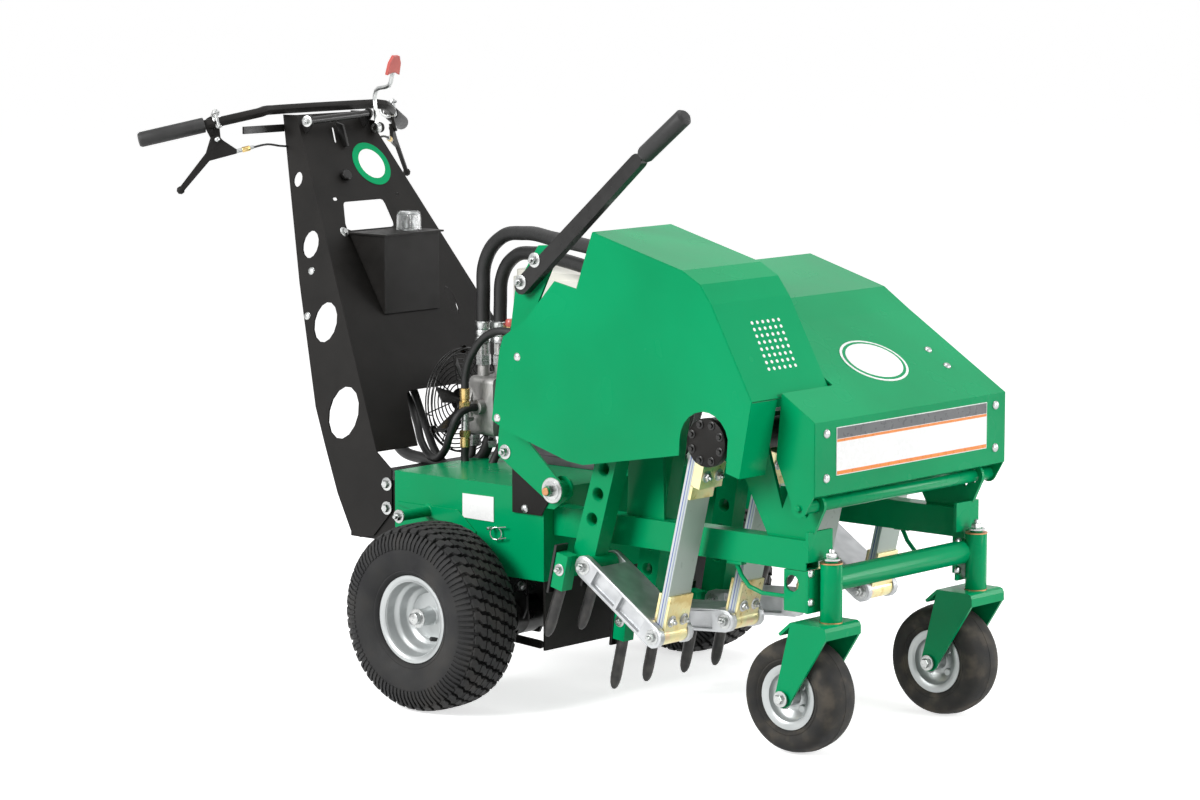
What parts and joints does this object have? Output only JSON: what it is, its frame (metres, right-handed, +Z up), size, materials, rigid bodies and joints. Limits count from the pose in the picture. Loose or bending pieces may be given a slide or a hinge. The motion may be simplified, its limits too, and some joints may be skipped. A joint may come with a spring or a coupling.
{
  "type": "walk-behind lawn aerator",
  "caption": "Powered walk-behind lawn aerator: crank-driven tine arms on flexible leaves under tilting hoods, drive wheels, front casters and a leaning handle tower.",
  "frame": {"origin": "on the ground, under the middle of the machine's box", "axes": "+X forward towards the casters, +Y to the operator's left, +Z up"},
  "size_m": [1.7894, 0.966, 1.2841],
  "materials": {
    "green_paint": "gloss powder coat",
    "black_coat": "satin powder coat",
    "steel": "machined and zinc plated",
    "rim_paint": "silver wheel paint",
    "tyre": "dusty rubber",
    "yellow_zinc": "yellow zinc plating",
    "cast_aluminium": "as-cast with machined ends",
    "engine_casting": "dark painted casting",
    "pump_casting": "rough casting",
    "tank_plastic": "translucent off-white",
    "clear_plastic": "clear moulded",
    "fan_plastic": "moulded black",
    "red_plastic": "dipped vinyl",
    "rubber": "matt black"
  },
  "bodies": {
    "frame": {"chassis_box": "green_paint", "tower_bracket": "green_paint", "side_frame_left": "green_paint", "side_frame_right": "green_paint", "front_beam": "green_paint", "hood_pivot_tube": "green_paint", "hood_main": "green_paint", "hood_side_left": "green_paint", "handle_tower": "black_coat", "handlebar": "black_coat", "oil_tank": "black_coat", "fan_guard": "black_coat", "leaf_carrier": "black_coat", "rear_axle": "steel", "flex_leaf_1": "yellow_zinc", "flex_leaf_2": "yellow_zinc", "flex_leaf_3": "yellow_zinc", "flex_leaf_4": "yellow_zinc", "engine_block": "engine_casting", "pump": "pump_casting", "hydraulic_motor": "pump_casting", "fuel_tank": "tank_plastic", "tank_cap": "clear_plastic", "rear_guard": "rubber", "grip_left": "rubber", "grip_right": "rubber", "hose_outer": "rubber", "hose_inner": "rubber", "hose_return": "rubber", "brake_cable_left": "rubber", "brake_cable_right": "rubber"},
    "rear_wheel_left": {"rear_tyre_left": "tyre", "rear_rim_left": "rim_paint"},
    "rear_wheel_right": {"rear_tyre_right": "tyre", "rear_rim_right": "rim_paint"},
    "caster_fork_left": {"caster_fork_left": "green_paint"},
    "caster_fork_right": {"caster_fork_right": "green_paint"},
    "caster_wheel_left": {"caster_tyre_left": "tyre", "caster_rim_left": "rim_paint"},
    "caster_wheel_right": {"caster_tyre_right": "tyre", "caster_rim_right": "rim_paint"},
    "crankshaft": {"crankshaft": "steel"},
    "tine_arm_1": {"tine_arm_1": "green_paint"},
    "tine_arm_2": {"tine_arm_2": "green_paint"},
    "tine_arm_3": {"tine_arm_3": "green_paint"},
    "tine_arm_4": {"tine_arm_4": "green_paint"},
    "link_1": {"link_1": "cast_aluminium"},
    "link_2": {"link_2": "cast_aluminium"},
    "link_3": {"link_3": "cast_aluminium"},
    "link_4": {"link_4": "cast_aluminium"},
    "hood_front": {"hood_front": "green_paint"},
    "lift_lever": {"lift_arm": "green_paint", "lift_bar": "black_coat", "lift_grip": "rubber"},
    "drive_lever": {"drive_lever": "steel", "drive_paddle": "red_plastic"},
    "brake_lever_left": {"brake_lever_left": "black_coat"},
    "brake_lever_right": {"brake_lever_right": "black_coat"},
    "cooling_fan": {"cooling_fan": "fan_plastic"}
  },
  "joints": [
    {"name": "rear_wheel_left_spin", "type": "hinge", "parent": "frame", "child": "rear_wheel_left", "pos_m": [-0.0278, 0.408, 0.1905], "axis": [0, 1, 0], "continuous": true},
    {"name": "caster_left_swivel", "type": "hinge", "parent": "frame", "child": "caster_fork_left", "pos_m": [0.8552, 0.2345, 0.262], "axis": [0, 0, 1], "continuous": true},
    {"name": "caster_left_spin", "type": "hinge", "parent": "caster_fork_left", "child": "caster_wheel_left", "pos_m": [0.7822, 0.2345, 0.1125], "axis": [0, 1, 0], "continuous": true},
    {"name": "rear_wheel_right_spin", "type": "hinge", "parent": "frame", "child": "rear_wheel_right", "pos_m": [-0.0278, -0.408, 0.1905], "axis": [0, 1, 0], "continuous": true},
    {"name": "caster_right_swivel", "type": "hinge", "parent": "frame", "child": "caster_fork_right", "pos_m": [0.8552, -0.2345, 0.262], "axis": [0, 0, 1], "continuous": true},
    {"name": "caster_right_spin", "type": "hinge", "parent": "caster_fork_right", "child": "caster_wheel_right", "pos_m": [0.7822, -0.2345, 0.1125], "axis": [0, 1, 0], "continuous": true},
    {"name": "crank_turn", "type": "hinge", "parent": "frame", "child": "crankshaft", "pos_m": [0.4128, 0, 0.7], "axis": [0, 1, 0], "range_deg": [0, 45]},
    {"name": "tine_arm_1_swing", "type": "hinge", "parent": "crankshaft", "child": "tine_arm_1", "pos_m": [0.45582, -0.33, 0.76144], "axis": [0, 1, 0], "range_deg": [-38.12, 0]},
    {"name": "link_1_swing", "type": "hinge", "parent": "frame", "child": "link_1", "pos_m": [0.5322, -0.33, 0.213], "axis": [0, 1, 0], "range_deg": [-9.91, 0]},
    {"name": "tine_arm_2_swing", "type": "hinge", "parent": "crankshaft", "child": "tine_arm_2", "pos_m": [0.36978, -0.11, 0.63856], "axis": [0, 1, 0], "range_deg": [-49.63, 0]},
    {"name": "link_2_swing", "type": "hinge", "parent": "frame", "child": "link_2", "pos_m": [0.5322, -0.11, 0.213], "axis": [0, 1, 0], "range_deg": [0, 11.94]},
    {"name": "tine_arm_3_swing", "type": "hinge", "parent": "crankshaft", "child": "tine_arm_3", "pos_m": [0.36978, 0.11, 0.63856], "axis": [0, 1, 0], "range_deg": [-49.63, 0]},
    {"name": "link_3_swing", "type": "hinge", "parent": "frame", "child": "link_3", "pos_m": [0.5322, 0.11, 0.213], "axis": [0, 1, 0], "range_deg": [0, 11.94]},
    {"name": "tine_arm_4_swing", "type": "hinge", "parent": "crankshaft", "child": "tine_arm_4", "pos_m": [0.45582, 0.33, 0.76144], "axis": [0, 1, 0], "range_deg": [-38.12, 0]},
    {"name": "link_4_swing", "type": "hinge", "parent": "frame", "child": "link_4", "pos_m": [0.5322, 0.33, 0.213], "axis": [0, 1, 0], "range_deg": [-9.91, 0]},
    {"name": "hood_tilt", "type": "hinge", "parent": "frame", "child": "hood_front", "pos_m": [0.8322, 0, 0.4865], "axis": [0, 1, 0], "range_deg": [0, 75]},
    {"name": "lift_lever_pull", "type": "hinge", "parent": "frame", "child": "lift_lever", "pos_m": [0.2352, -0.335, 0.464], "axis": [0, 1, 0], "range_deg": [-45, 0]},
    {"name": "drive_lever_push", "type": "hinge", "parent": "frame", "child": "drive_lever", "pos_m": [-0.6638, 0.096, 1.124], "axis": [0, 1, 0], "range_deg": [-14, 14]},
    {"name": "brake_left_squeeze", "type": "hinge", "parent": "frame", "child": "brake_lever_left", "pos_m": [-0.7848, 0.268, 1.11], "axis": [0.7773, 0.5895, 0.2197], "range_deg": [0, 20], "stiffness_Nm_per_rad": 1.5},
    {"name": "brake_right_squeeze", "type": "hinge", "parent": "frame", "child": "brake_lever_right", "pos_m": [-0.7848, -0.268, 1.11], "axis": [-0.7773, 0.5895, -0.2197], "range_deg": [0, 20], "stiffness_Nm_per_rad": 1.5},
    {"name": "fan_spin", "type": "hinge", "parent": "frame", "child": "cooling_fan", "pos_m": [-0.2898, -0.01, 0.566], "axis": [1, 0, 0], "continuous": true}
  ],
  "couplings": [
    {"joint": "tine_arm_1_swing", "follows": "crank_turn", "ratio": -0.8448},
    {"joint": "link_1_swing", "follows": "crank_turn", "ratio": -0.2179},
    {"joint": "tine_arm_2_swing", "follows": "crank_turn", "ratio": -1.1006},
    {"joint": "link_2_swing", "follows": "crank_turn", "ratio": 0.2632},
    {"joint": "tine_arm_3_swing", "follows": "crank_turn", "ratio": -1.1006},
    {"joint": "link_3_swing", "follows": "crank_turn", "ratio": 0.2632},
    {"joint": "tine_arm_4_swing", "follows": "crank_turn", "ratio": -0.8448},
    {"joint": "link_4_swing", "follows": "crank_turn", "ratio": -0.2179}
  ]
}
